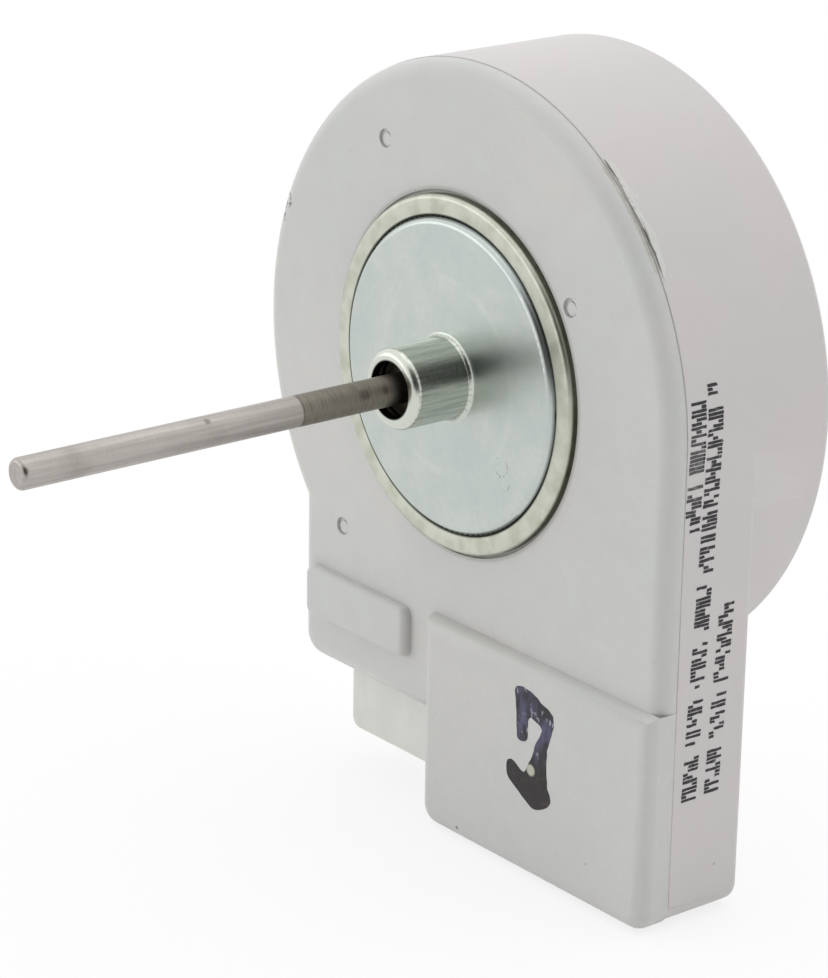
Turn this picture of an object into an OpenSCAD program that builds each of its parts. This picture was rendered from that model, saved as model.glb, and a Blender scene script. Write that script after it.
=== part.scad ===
// Fan motor with a moulded stator: a resin body with the windings and the circuit board
// cast into it, a pressed steel bracket, and a rotor on a long thin shaft.
// The origin is in the middle of the drum's rear face, on the shaft's axis. The shaft points
// along -Y, and the connector opens downwards.

/* [Moulded body] */
// Diameter of the round drum
drum_d = 65; // [63:0.5:72]
// Wall of the drum round the laminated core
drum_wall = 4.5; // [4:0.25:5.5]
// How far the drum reaches behind the flat lower body
drum_rear = 9.5; // [9:0.25:14]
// Thickness of the flat lower body
body_t = 11; // [10.9:0.1:13]
// Wall behind the rotor and the windings
rear_wall = 2; // [1.5:0.1:2.5]
// Reach of the lower body to the left of the axis
body_left = 26; // [23:0.5:30]
// Depth of the lower body's left half below the axis
left_drop = 38; // [37:0.25:40]
// Depth of the connector block below the axis
block_drop = 49.3; // [48:0.1:56]
// How far the block stands out of the front face
block_raise = 1.9; // [1.2:0.1:3]
// Left side of the block, measured to the left of the axis
block_left = 2.5; // [0:0.25:3.5]
// Top of the block, below the axis
block_top = 26.3; // [25:0.1:29]
// How far the small pad stands out of the front face
pad_raise = 1.4; // [0.6:0.1:2]
// Rounding of the front edge
front_r = 2; // [1.2:0.1:2.2]
// Rounding of the drum's rear edge
rear_r = 1.5; // [0.6:0.1:2]
// Distance of the mould's parting line behind the front face
parting_back = 2.3; // [2.2:0.1:3]
// Step between the two mould halves at the parting line
parting_step = 0.2; // [0.1:0.05:0.4]

/* [Steel bracket] */
// Thickness of the bracket's sheet
sheet_t = 1.2; // [1:0.1:1.5]
// Diameter of the bracket's flange
flange_d = 37.6; // [36.6:0.2:42]
// Diameter of the raised disc inside the flange
disc_d = 32.4; // [31.6:0.2:34]
// Height of the disc above the flange
disc_raise = 0.5; // [0.3:0.05:0.6]
// Height of the boss's mouth above the body's front face
boss_reach = 8.8; // [8.5:0.1:10]
// Wall of the drawn boss
boss_wall = 1; // [0.9:0.05:1.2]
// Hole in the boss's mouth
mouth_d = 5.9; // [5:0.1:6]

/* [Shaft and bearings] */
// Diameter of the shaft
shaft_d = 3.17; // [3:0.01:3.3]
// Reach of the shaft in front of the body
shaft_reach = 52.5; // [35:0.5:70]
// Length of the finely ground free end, where the fan is pushed on
ground_l = 32; // [20:0.5:34]
// Radial running clearance of the shaft in its bearings
running_gap = 0.02; // [0.01:0.01:0.05]
// Outer diameter of the sleeve bearings
bearing_d = 6.35; // [6.2:0.05:6.4]
// Length of the sleeve bearings
bearing_l = 6.35; // [6:0.05:6.5]

/* [Stator and rotor] */
// Height of the core's stack
core_h = 6; // [5:0.25:6.25]
// Diameter of the hole in the core
bore_d = 27.2; // [27:0.1:28]
// Number of teeth, each with one coil
coil_count = 9; // [6:3:9]
// Width of a tooth
tooth_w = 3.2; // [2.6:0.1:3.6]
// Thickness of a coil's winding
winding_t = 2; // [1.4:0.1:2.1]
// Air gap between the magnet and the core
air_gap = 0.5; // [0.4:0.05:0.8]
// Length of the ring magnet
magnet_l = 14; // [12:0.25:14]
// Thickness of the ring magnet
magnet_t = 2.6; // [2:0.1:3]

/* [Circuit board and connector] */
// Thickness of the circuit board
board_t = 1.2; // [1:0.1:1.6]
// Width of the connector's housing
socket_w = 15; // [14:0.25:16]
// Depth of the connector's housing, from its front to its back
socket_t = 6.4; // [6.2:0.1:6.4]
// How far the connector stands out of the body's underside
socket_out = 7.2; // [6.5:0.1:9]
// Number of contacts
contact_count = 4; // [3:1:4]
// Distance from contact to contact
contact_pitch = 2.5; // [2.2:0.1:2.6]

/* [Hidden] */
$fn = 96;
fit_gap = 0.02;        // between pieces that are pressed or moulded together
mould_gap = 0.05;      // round what the resin holds
eps = 0.01;
through = 4 * drum_d;  // longer than any hole

// Body
drum_r = drum_d / 2;
rear_z = 0;
shoulder_z = rear_z + drum_rear;
front_z = shoulder_z + body_t;
parting_z = front_z - parting_back;
block_z = front_z + block_raise;
body_right = drum_r - 0.15;    // the flat side starts just inside the drum's round side
corner_r = 2.6;        // upright corners of the lower body
plate_top = 4;         // the lower body ends inside the drum
back_edge_r = 0.8;
block_edge_r = 1.1;
pad_edge_r = 0.7;
pad_corner_r = 1;
pad_box = [[-body_left + 2.25, -left_drop + 5.2], [-block_left - 4.4, -left_drop + 10.8]];
pin_marks = [[-12.1, 22], [17.2, 11.2], [-18.6, -21.6]];
pin_mark_d = 2.3;
pin_mark_deep = 0.3;
gate_at = [12, -9];
gate_d = 5;
gate_deep = 0.3;

// Bracket
flange_r = flange_d / 2;
disc_r = disc_d / 2;
flange_z = front_z + sheet_t;
disc_z = flange_z + disc_raise;
disc_back_z = disc_z - sheet_t;
disc_edge_r = 0.7;
groove_w = 0.3;
groove_deep = 0.2;
boss_z = front_z + boss_reach;
bearing_r = bearing_d / 2;
boss_r = bearing_r + fit_gap + boss_wall;
boss_foot_r = 0.6;
boss_mouth_r = 0.9;
lip_t = 0.9;
rim_edge_r = 0.3;
spigot_r = disc_r - 0.75;
spigot_h = disc_raise - 0.05;

// Stator
bore_r = bore_d / 2;
core_r = drum_r - drum_wall;
yoke_t = 4;
yoke_r = core_r - yoke_t;
shoe_t = 1.3;
shoe_gap = 2.2;
liner_t = 0.5;
cap_t = 0.7;
cap_r = yoke_r + 1.6;
cap_pocket_r = cap_r + 0.8;
wall_r = yoke_r - 0.5;  // inner side of the wall that holds the wire in
coil_w = tooth_w + 2 * (liner_t + fit_gap + winding_t);
coil_r0 = bore_r + shoe_t + 1;
coil_r1 = sqrt(wall_r * wall_r - coil_w * coil_w / 4) - 0.1;
coil_h = core_h + 2 * (cap_t + fit_gap + winding_t);
rear_pocket_z = rear_z + rear_wall;
coil_clear = 0.3;
core_z = rear_pocket_z + coil_clear + cap_t + winding_t + fit_gap;
core_mid_z = core_z + core_h / 2;
core_top_z = core_z + core_h;
coil_top_z = core_mid_z + coil_h / 2;
wall_h = 2.2;

// Circuit board
board_z = coil_top_z + 2 * coil_clear;
board_top_z = board_z + board_t;
lining_r = bore_r + 1.35;
board_r = core_r + 0.6;
parts_z = front_z - 1.5;
block_parts_z = block_z - 1.4;
board_right = drum_r - 3;
board_bottom = -block_drop + 2.6;
socket_top = -left_drop + 4;
board_left = -body_left + 3;
board_step = socket_top + 0.1;
board_inner_left = -block_left + 2.2;
board_lip = 1.5;       // rim of the board that the resin grips
pocket_lip = 1;
pocket_top = -block_top - 2.4;
board_holes = [[board_left + 6, board_step + 4], [board_right - 1.5, board_step + 22]];

// What is soldered to the board, each with its place and its size
driver_at = [(board_inner_left + board_right) / 2 + 0.4, (board_bottom + pocket_top) / 2 + 2.2];
driver_size = [10, 5.6, 1.8];
driver_leads = 7;
driver_pitch = 1.27;
capacitor_at = [board_inner_left + 5.5, board_bottom + 4.7];
capacitor_r = 3.15;
capacitor_h = 4.4;
capacitor_base = [6.6, 6.6, 0.8];
capacitor_edge_r = 0.4;
capacitor_groove = [0.25, 0.4];
capacitor_groove_z = 1.5;
ceramic_size = [2, 1.25, 0.9];
ceramic_pitch = 3.2;
ceramic_row = [capacitor_at.x + 5.6, board_bottom + 3.7];
ceramics_at = concat([for (i = [0 : 2]) ceramic_row + [i * ceramic_pitch, 0]],
    [[driver_at.x + 8, pocket_top - 1.8]]);
resistor_size = [1.25, 2, 0.5];
resistor_turns = [200, 212, 224, 300, 312];
resistor_ring_r = (lining_r + board_r) / 2;
diode_at = [board_right - 4, board_bottom + 5.2];
diode_size = [2.6, 4.2, 2];
hall_size = [2.9, 1.2, 1];
hall_pitch = 1.9;
hall_turn = -50;
lead_w = 0.4;
lead_t = 0.2;
post_turns = [for (i = [0 : 2]) 100 + i * 360 / coil_count];
post_w = 0.64;

// Connector
socket_x0 = -body_left + 6.9;
socket_x1 = socket_x0 + socket_w;
socket_mouth = -left_drop - socket_out;
contact_t = 0.64;
socket_wall = 0.8;
contact_z = board_top_z + contact_t / 2;
socket_z0 = contact_z - socket_t / 2 - 0.45;
socket_corner_r = 1.1;
key_w = 1.4;
key_l = 4;
key_inset = 2.6;
socket_floor = socket_top - 2;
contact_tip = socket_floor - 4.6;
contact_tail = socket_top + 2.8;
rib_out = 0.8;
rib_l = 1.4;
rib_top = socket_top - 1.1;

// Rotor
magnet_r = bore_r - air_gap;
rotor_floor_z = rear_z + 2.5;
magnet_z = rotor_floor_z + 1.5;
magnet_top_z = magnet_z + magnet_l;
hub_r = magnet_r - magnet_t;
rim_t = 1.8;
hub_boss_r = 4.5;
web_t = 3;
web_count = 6;
web_hole_d = 3;
rib_t = 1.2;
shaft_r = shaft_d / 2;
bearing_bore_r = shaft_r + running_gap;
seat_wall = 2;
seat_r = bearing_r + seat_wall;
pad_t = 0.6;
seat_floor_z = rear_z + 1.1;
thrust_z = seat_floor_z + pad_t;
rear_bearing_z = thrust_z + 0.1;
rear_bearing_top = rear_bearing_z + bearing_l;
seat_top_z = rear_bearing_top - 0.25;
washer_t = 0.4;
hub_z = rear_bearing_top + 0.1 + washer_t;
shaft_rear_z = thrust_z + mould_gap;
shaft_tip_z = front_z + shaft_reach;
ground_r = shaft_r - 0.01;
ground_z = shaft_tip_z - ground_l;
run_out = 0.5;         // where the grinding wheel leaves the shaft
tip_r = 0.5;
front_bearing_z = disc_back_z + 0.3;
hub_top_z = magnet_top_z - 0.5;
stack_top_z = front_bearing_z - 0.1;
wave_h = 0.5;
ring_t = 0.3;
collar_top_z = stack_top_z - ring_t - wave_h - washer_t;
collar_r = bearing_r - 0.35;

COILS = [for (i = [1 : coil_count]) str("coil_", i)];

// Turns a piece that is built along +Z so that its +Z looks out of the motor's front
module facing_front() {
    rotate([90, 0, 0]) children();
}

module tube(r_out, r_in, z0, z1) {
    translate([0, 0, z0]) difference() {
        cylinder(r = r_out, h = z1 - z0);
        translate([0, 0, -1]) cylinder(r = r_in, h = z1 - z0 + 2);
    }
}

module block_between(a, b) {
    translate(a) cube(b - a);
}

// Rectangle from corner a to corner b with round corners
module round_rect(a, b, r) {
    translate([a.x + r, a.y]) square([b.x - a.x - 2 * r, b.y - a.y]);
    translate([a.x, a.y + r]) square([b.x - a.x, b.y - a.y - 2 * r]);
    for (x = [a.x + r, b.x - r], y = [a.y + r, b.y - r]) translate([x, y]) circle(r);
}

// Rectangle w by h whose lower corners have radius r0 and whose upper corners have radius r1
module end_profile(w, h, r0, r1) {
    translate([0, r0]) square([w, h - r0 - r1]);
    if (r1 > 0) {
        translate([r1, h - 2 * r1]) square([w - 2 * r1, 2 * r1]);
        for (x = [r1, w - r1]) translate([x, h - r1]) circle(r1);
    }
    if (r0 > 0) {
        translate([r0, 0]) square([w - 2 * r0, 2 * r0]);
        for (x = [r0, w - r0]) translate([x, r0]) circle(r0);
    }
}

// A plate from corner a to corner b whose upright corners, back edges and front edges are
// rounded: where three outlines overlap, each seen along its own axis
module soft_plate(a, b, z0, z1, corner, back, front) {
    size = b - a;
    translate([a.x, a.y, z0]) intersection() {
        linear_extrude(z1 - z0) round_rect([0, 0], size, corner);
        rotate([90, 0, 0]) mirror([0, 0, 1])
            linear_extrude(size.y) end_profile(size.x, z1 - z0, back, front);
        rotate([90, 0, 90]) linear_extrude(size.x) end_profile(size.y, z1 - z0, back, front);
    }
}

// Half section of a round body whose lower rim has radius r0 and whose upper rim has radius r1
module rim_section(r, z0, z1, r0, r1) {
    translate([0, z0 + r0]) square([r, z1 - z0 - r0 - r1]);
    if (r1 > 0) {
        translate([0, z1 - 2 * r1]) square([r - r1, 2 * r1]);
        translate([r - r1, z1 - r1]) circle(r1);
    }
    if (r0 > 0) {
        translate([0, z0]) square([r - r0, 2 * r0]);
        translate([r - r0, z0 + r0]) circle(r0);
    }
}

module drum() {
    rotate_extrude() rim_section(drum_r, rear_z, parting_z, rear_r, 0);
    rotate_extrude() rim_section(drum_r - parting_step, parting_z - 1, front_z, 0, front_r);
}

// A plate in two halves that meet at the parting line. The front half is smaller all round by
// the step between the mould halves.
module two_part_plate(a, b, top_z, edge_r) {
    step = [parting_step, parting_step];
    soft_plate(a, b, shoulder_z, parting_z, corner_r, back_edge_r, 0);
    soft_plate(a + step, b - step, parting_z - 1, top_z, corner_r - parting_step, 0, edge_r);
}

// Lower body, with the connector block and the small pad raised on its front face
module lower_body() {
    two_part_plate([-body_left, -left_drop], [body_right, plate_top], front_z, front_r);
    two_part_plate([-block_left, -block_drop], [body_right, -block_top], block_z, block_edge_r);
    soft_plate(pad_box[0], pad_box[1], parting_z, front_z + pad_raise, pad_corner_r, 0, pad_edge_r);
}

// Mark of a mould's core pin: a shallow round recess with a low island in its middle
module pin_mark() {
    translate([0, 0, front_z - pin_mark_deep]) difference() {
        cylinder(d = pin_mark_d, h = 1);
        translate([0, 0, -1]) cylinder(d = pin_mark_d * 0.45, h = 1 + pin_mark_deep / 2);
    }
}

// Outline of the circuit board: a ring round the rotor with a tongue below it
module board_outline(grow = 0) {
    difference() {
        union() {
            circle(board_r + grow);
            translate([board_left - grow, board_step - grow])
                square([board_right - board_left + 2 * grow, -board_step + 2 * grow]);
            translate([board_inner_left - grow, board_bottom - grow])
                square([board_right - board_inner_left + 2 * grow, -board_bottom + 2 * grow]);
        }
        circle(lining_r + mould_gap - grow);
    }
}

module socket_pocket() {
    block_between([socket_x0 - mould_gap, -left_drop - 1, socket_z0 - mould_gap],
        [socket_x1 + mould_gap, socket_top + mould_gap, socket_z0 + socket_t + mould_gap]);
    block_between([socket_x0 - rib_out - mould_gap, rib_top - rib_l - mould_gap, contact_z - 1 - mould_gap],
        [socket_x1 + rib_out + mould_gap, rib_top + mould_gap, contact_z + 1 + mould_gap]);
}

module moulded_housing() color([0.79, 0.785, 0.775]) facing_front() difference() {
    union() {
        difference() {
            union() {
                drum();
                lower_body();
                tube(spigot_r, bore_r, front_z - 1, front_z + spigot_h);
            }
            // Rotor chamber, open at the front
            translate([0, 0, rotor_floor_z]) cylinder(r = bore_r, h = through);
        }
        // Seat of the rear bearing, standing on the chamber's floor
        translate([0, 0, rotor_floor_z - 1]) cylinder(r = seat_r, h = seat_top_z - rotor_floor_z + 1);
    }
    translate([0, 0, seat_floor_z]) cylinder(r = bearing_r + fit_gap, h = through);
    // Room for the core and for the ends of the coils, behind a thin lining of the chamber
    tube(core_r + fit_gap, bore_r - 1, core_z - fit_gap, core_top_z + fit_gap);
    tube(cap_pocket_r, bore_r - 1, core_z - cap_t - fit_gap, core_top_z + cap_t + fit_gap);
    tube(cap_pocket_r, lining_r, rear_pocket_z, core_z);
    tube(cap_pocket_r, lining_r, core_top_z, board_z);
    // Room for the board and for what is soldered to it
    translate([0, 0, board_z - mould_gap]) linear_extrude(board_t + 2 * mould_gap) board_outline(mould_gap);
    tube(board_r - board_lip, lining_r, board_top_z, parts_z);
    block_between([board_inner_left + pocket_lip, board_bottom + pocket_lip, board_top_z],
        [board_right - pocket_lip, pocket_top, block_parts_z]);
    block_between([socket_x0 + 1, socket_top - 1, board_top_z],
        [socket_x1 - 1, contact_tail + 0.5, parts_z - 1]);
    socket_pocket();
    for (p = pin_marks) translate(p) pin_mark();
    // Gate mark on the rear face
    translate([gate_at.x, gate_at.y, rear_z - 1]) cylinder(d = gate_d, h = 1 + gate_deep);
}

// Section of the pressed sheet, from the boss's mouth to the flange's rim
module bracket_section() {
    groove_r = disc_r + groove_w;
    difference() {
        union() {
            translate([0, disc_back_z]) square([disc_r - disc_edge_r, sheet_t]);
            translate([0, disc_back_z]) square([disc_r, sheet_t - disc_edge_r]);
            translate([disc_r - disc_edge_r, disc_z - disc_edge_r]) intersection() {
                circle(disc_edge_r);
                square(disc_edge_r);
            }
            translate([spigot_r + 0.1, front_z])
                square([flange_r - rim_edge_r - spigot_r - 0.1, sheet_t]);
            translate([flange_r - 2 * rim_edge_r, front_z])
                square([2 * rim_edge_r, sheet_t - rim_edge_r]);
            translate([flange_r - rim_edge_r, flange_z - rim_edge_r]) intersection() {
                circle(rim_edge_r);
                square(rim_edge_r);
            }
            // Drawn boss, with a small round foot and a round mouth
            square([boss_r, boss_z - boss_mouth_r]);
            square([boss_r - boss_mouth_r, boss_z]);
            translate([boss_r - boss_mouth_r, boss_z - boss_mouth_r]) intersection() {
                circle(boss_mouth_r);
                square(boss_mouth_r);
            }
            translate([boss_r - eps, disc_z - eps]) difference() {
                square(boss_foot_r);
                translate([boss_foot_r, boss_foot_r]) circle(boss_foot_r);
            }
        }
        translate([disc_r, flange_z - groove_deep]) square([groove_w, 1]);
        translate([-1, -1]) square([bearing_r + fit_gap + 1, boss_z - lip_t + 1]);
        translate([-1, 0]) square([mouth_d / 2 + 1, boss_z + 1]);
        translate([-1, -1]) square([disc_r + 1, disc_back_z + 1]);
    }
}

module steel_bracket() color([0.72, 0.75, 0.74]) facing_front() rotate_extrude() bracket_section();

module ring_section(r_out, r_in) {
    difference() {
        circle(r_out);
        circle(r_in);
    }
}

// One slot-opening wedge for each gap between two tooth shoes
module slot_openings(r, width) {
    for (i = [0 : coil_count - 1]) rotate((i + 0.5) * 360 / coil_count)
        translate([0, -width / 2]) square([r, width]);
}

module tooth_bars(width, r0, r1) {
    for (i = [0 : coil_count - 1]) rotate(i * 360 / coil_count)
        translate([r0, -width / 2]) square([r1 - r0, width]);
}

module stator_core() color([0.42, 0.42, 0.44]) facing_front()
    translate([0, 0, core_z]) linear_extrude(core_h) {
        ring_section(core_r, yoke_r);
        intersection() {
            tooth_bars(tooth_w, bore_r, yoke_r + 1);
            ring_section(core_r, bore_r + 0.3);
        }
        difference() {
            ring_section(bore_r + shoe_t, bore_r);
            slot_openings(bore_r + 3, shoe_gap);
        }
    }

// A plastic cap on one end of the core, with a sleeve down each side of a tooth
module insulator() {
    linear_extrude(cap_t) {
        ring_section(cap_r, yoke_r);
        intersection() {
            tooth_bars(tooth_w + 2 * liner_t, bore_r, yoke_r + 1);
            ring_section(core_r, bore_r + 0.3);
        }
        difference() {
            ring_section(bore_r + shoe_t + 0.6, bore_r + 0.3);
            slot_openings(bore_r + 3, shoe_gap + 0.6);
        }
    }
    // Walls that keep the wire in, outside and inside
    linear_extrude(wall_h) difference() {
        ring_section(yoke_r + 1.2, wall_r);
        slot_openings(core_r, 3);
    }
    linear_extrude(wall_h) difference() {
        ring_section(lining_r + 0.9, lining_r + 0.15);
        slot_openings(core_r, 4.2);
    }
    translate([0, 0, -core_h / 2 + 0.1]) linear_extrude(core_h / 2 + 0.1) difference() {
        intersection() {
            tooth_bars(tooth_w + 2 * liner_t, bore_r, yoke_r + 1);
            ring_section(yoke_r - fit_gap, bore_r + shoe_t + fit_gap);
        }
        tooth_bars(tooth_w + 2 * fit_gap, 0, yoke_r + 1);
    }
}

module rear_insulator() color([0.86, 0.85, 0.8]) facing_front()
    translate([0, 0, core_z]) mirror([0, 0, 1]) insulator();

module front_insulator() color([0.86, 0.85, 0.8]) facing_front()
    translate([0, 0, core_top_z]) insulator();

// A winding round one tooth: a band of wire with round corners
module coil(index) color([0.66, 0.33, 0.16]) facing_front()
    rotate((index - 1) * 360 / coil_count) translate([coil_r0, 0, core_mid_z]) rotate([90, 0, 90])
        linear_extrude(coil_r1 - coil_r0) difference() {
            round_rect([-coil_w / 2, -coil_h / 2], [coil_w / 2, coil_h / 2], winding_t - 0.3);
            square([coil_w - 2 * winding_t, coil_h - 2 * winding_t], center = true);
        }

// Three posts that carry the ends of the windings to the board
module winding_terminals() color([0.8, 0.78, 0.7]) facing_front()
    for (a = post_turns) rotate(a)
        block_between([yoke_r + 0.1, -post_w / 2, core_top_z + cap_t],
            [yoke_r + 0.1 + post_w, post_w / 2, board_top_z + 0.8]);

module circuit_board() color([0.16, 0.36, 0.2]) facing_front()
    translate([0, 0, board_z]) linear_extrude(board_t) difference() {
        board_outline();
        for (a = post_turns) rotate(a) translate([yoke_r + 0.1 + post_w / 2, 0]) circle(0.6);
        for (p = board_holes) translate(p) circle(1);
    }

// A chip package with bent leads along its two long sides: each lead comes out of the package,
// goes down to the board and ends in a flat foot
module leaded_package(size, leads, pitch) {
    lead_z = size.z * 0.55;
    foot_l = 0.8;
    translate([-size.x / 2, -size.y / 2, 0.15]) cube([size.x, size.y, size.z - 0.15]);
    for (i = [0 : leads - 1], side = [0, 180]) rotate(side)
        translate([(i - (leads - 1) / 2) * pitch - lead_w / 2, size.y / 2, 0]) {
            translate([0, -0.1, lead_z - lead_t]) cube([lead_w, foot_l / 2 + 0.2, lead_t]);
            translate([0, foot_l / 2 - 0.1, 0]) cube([lead_w, lead_t, lead_z]);
            cube([lead_w, foot_l, lead_t]);
        }
}

module driver_chip() color([0.13, 0.13, 0.14]) facing_front()
    translate([driver_at.x, driver_at.y, board_top_z])
        leaded_package(driver_size, driver_leads, driver_pitch);

module hall_sensor() color([0.13, 0.13, 0.14]) facing_front()
    rotate(hall_turn) translate([lining_r + hall_size.y / 2 + 0.9, 0, board_top_z]) rotate(90)
        leaded_package(hall_size, 2, hall_pitch);

// A can of sheet aluminium on a square plastic base
module smoothing_capacitor() color([0.75, 0.76, 0.78]) facing_front()
    translate([capacitor_at.x, capacitor_at.y, board_top_z]) difference() {
        union() {
            chip_part(capacitor_base);
            rotate_extrude() rim_section(capacitor_r, 0, capacitor_h, 0, capacitor_edge_r);
        }
        tube(capacitor_r + 1, capacitor_r - capacitor_groove.x,
            capacitor_groove_z, capacitor_groove_z + capacitor_groove.y);
    }

module chip_part(size) {
    translate([-size.x / 2, -size.y / 2, 0]) cube(size);
}

module ceramic_capacitors() color([0.6, 0.48, 0.36]) facing_front()
    for (p = ceramics_at) translate([p.x, p.y, board_top_z]) chip_part(ceramic_size);

module chip_resistors() color([0.1, 0.1, 0.11]) facing_front()
    for (a = resistor_turns) rotate(a) translate([resistor_ring_r, 0, board_top_z])
        chip_part(resistor_size);

module surge_diode() color([0.12, 0.12, 0.13]) facing_front()
    translate([diode_at.x, diode_at.y, board_top_z]) leaded_package(diode_size, 1, 0);

module connector_housing() color([0.84, 0.84, 0.79]) facing_front() difference() {
    union() {
        soft_socket();
        // Ribs that anchor the housing in the resin
        block_between([socket_x0 - rib_out, rib_top - rib_l, contact_z - 1],
            [socket_x1 + rib_out, rib_top, contact_z + 1]);
    }
    block_between([socket_x0 + socket_wall, socket_mouth - 1, socket_z0 + socket_wall],
        [socket_x1 - socket_wall, socket_floor, socket_z0 + socket_t - socket_wall]);
    // Slots in the back wall for the plug's keys
    for (x = [socket_x0 + key_inset, socket_x1 - key_inset])
        block_between([x - key_w / 2, socket_mouth - 1, socket_z0 - 1],
            [x + key_w / 2, socket_mouth + key_l, socket_z0 + socket_wall + 1]);
    for (i = [0 : contact_count - 1]) contact(i, fit_gap);
}

module soft_socket() {
    translate([0, 0, socket_z0]) linear_extrude(socket_t) {
        round_rect([socket_x0, socket_mouth], [socket_x1, socket_top - 2], socket_corner_r);
        translate([socket_x0, socket_top - 6]) square([socket_w, 6]);
    }
}

module contact(i, grow) {
    x = (socket_x0 + socket_x1) / 2 + (i - (contact_count - 1) / 2) * contact_pitch;
    h = contact_t / 2 + grow;
    block_between([x - h, contact_tip, contact_z - h], [x + h, contact_tail, contact_z + h]);
}

module connector_contacts() color([0.82, 0.8, 0.72]) facing_front()
    for (i = [0 : contact_count - 1]) contact(i, 0);

module bearing(z) {
    difference() {
        rotate_extrude() rim_section(bearing_r, z, z + bearing_l, 0.3, 0.3);
        cylinder(r = bearing_bore_r, h = through, center = true);
    }
}

module front_bearing() color([0.6, 0.45, 0.28]) facing_front() bearing(front_bearing_z);

module rear_bearing() color([0.6, 0.45, 0.28]) facing_front() bearing(rear_bearing_z);

module thrust_pad() color([0.9, 0.88, 0.82]) facing_front()
    translate([0, 0, seat_floor_z]) cylinder(r = bearing_r - 0.1, h = pad_t);

// Turned shaft with a more finely ground free end
module shaft() color([0.52, 0.5, 0.48]) facing_front() rotate_extrude() {
    rim_section(shaft_r, shaft_rear_z, ground_z - run_out, tip_r, 0);
    polygon([[0, ground_z - run_out], [shaft_r, ground_z - run_out], [ground_r, ground_z], [0, ground_z]]);
    rim_section(ground_r, ground_z, shaft_tip_z, 0, tip_r);
}

// Plastic hub: a rim inside the magnet, a web with holes, and a boss pressed on the shaft
module rotor_hub() color([0.25, 0.26, 0.28]) facing_front() difference() {
    union() {
        tube(hub_r - fit_gap, hub_r - rim_t, magnet_z, magnet_top_z);
        translate([0, 0, hub_z + 1.5]) cylinder(r = hub_r - rim_t + 0.5, h = web_t);
        translate([0, 0, hub_z]) cylinder(r = hub_boss_r, h = hub_top_z - hub_z);
        for (i = [0 : web_count - 1]) rotate(i * 360 / web_count)
            translate([hub_boss_r - 0.5, -rib_t / 2, hub_z + 2])
                cube([hub_r - rim_t - hub_boss_r + 0.8, rib_t, hub_top_z - hub_z - 3]);
    }
    cylinder(r = shaft_r + fit_gap, h = through, center = true);
    for (i = [0 : web_count - 1]) rotate((i + 0.5) * 360 / web_count)
        translate([(hub_boss_r + hub_r - rim_t) / 2, 0, 0])
            cylinder(d = web_hole_d, h = through, center = true);
}

module ring_magnet() color([0.2, 0.2, 0.21]) facing_front() tube(magnet_r, hub_r, magnet_z, magnet_top_z);

module washer(r, z0, z1) {
    tube(r, shaft_r + fit_gap, z0, z1);
}

module rear_washer() color([0.9, 0.9, 0.86]) facing_front() washer(collar_r, hub_z - washer_t, hub_z);

module front_collar() color([0.75, 0.62, 0.35]) facing_front() washer(collar_r, hub_top_z, collar_top_z);

module front_washer() color([0.9, 0.9, 0.86]) facing_front()
    washer(collar_r, collar_top_z, collar_top_z + washer_t);

// Spring washer, bent round an axis across the shaft
module wave_washer() color([0.7, 0.7, 0.72]) facing_front() intersection() {
    strip_t = 0.15;
    bow_r = collar_r * collar_r / (2 * (wave_h - strip_t)) + (wave_h - strip_t) / 2;
    washer(collar_r, collar_top_z, stack_top_z);
    translate([0, 0, collar_top_z + washer_t + wave_h - bow_r]) rotate([0, 90, 0]) difference() {
        cylinder(r = bow_r, h = 4 * collar_r, center = true, $fn = 200);
        cylinder(r = bow_r - strip_t, h = 5 * collar_r, center = true, $fn = 200);
    }
}

module bearing_washer() color([0.9, 0.9, 0.86]) facing_front()
    washer(collar_r, stack_top_z - ring_t, stack_top_z);

moulded_housing();
steel_bracket();
stator_core();
rear_insulator();
front_insulator();
winding_terminals();
circuit_board();
driver_chip();
hall_sensor();
smoothing_capacitor();
ceramic_capacitors();
chip_resistors();
surge_diode();
connector_housing();
connector_contacts();
front_bearing();
rear_bearing();
thrust_pad();
shaft();
rotor_hub();
ring_magnet();
rear_washer();
front_collar();
front_washer();
wave_washer();
bearing_washer();
for (i = [1 : coil_count]) coil(i);
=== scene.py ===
import math
import random
import bmesh
import bpy
from mathutils import Matrix, Vector


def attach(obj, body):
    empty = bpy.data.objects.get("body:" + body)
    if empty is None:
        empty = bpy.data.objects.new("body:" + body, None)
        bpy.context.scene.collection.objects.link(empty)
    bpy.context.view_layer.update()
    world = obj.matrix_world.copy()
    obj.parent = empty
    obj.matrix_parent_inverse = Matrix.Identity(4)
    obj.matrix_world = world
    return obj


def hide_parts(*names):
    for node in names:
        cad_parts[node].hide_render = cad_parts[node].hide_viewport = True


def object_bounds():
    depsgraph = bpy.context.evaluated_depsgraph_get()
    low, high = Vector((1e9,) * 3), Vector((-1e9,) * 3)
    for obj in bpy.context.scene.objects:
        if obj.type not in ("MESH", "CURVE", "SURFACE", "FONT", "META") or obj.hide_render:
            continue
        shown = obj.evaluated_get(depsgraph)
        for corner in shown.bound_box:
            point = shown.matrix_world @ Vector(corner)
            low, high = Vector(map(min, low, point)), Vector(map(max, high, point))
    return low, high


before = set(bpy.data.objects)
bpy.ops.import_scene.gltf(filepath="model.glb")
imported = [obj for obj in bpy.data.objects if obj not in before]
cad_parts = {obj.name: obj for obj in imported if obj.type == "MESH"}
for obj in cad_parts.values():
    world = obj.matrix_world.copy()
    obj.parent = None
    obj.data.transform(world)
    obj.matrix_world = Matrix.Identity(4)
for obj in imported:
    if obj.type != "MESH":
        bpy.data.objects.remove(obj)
cad_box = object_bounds()
mm = 0.001


# The photographer's view. The camera stands to the right of the motor and a little above it, and
# looks back along the shaft at the middle of the front, through a long lens.

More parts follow.
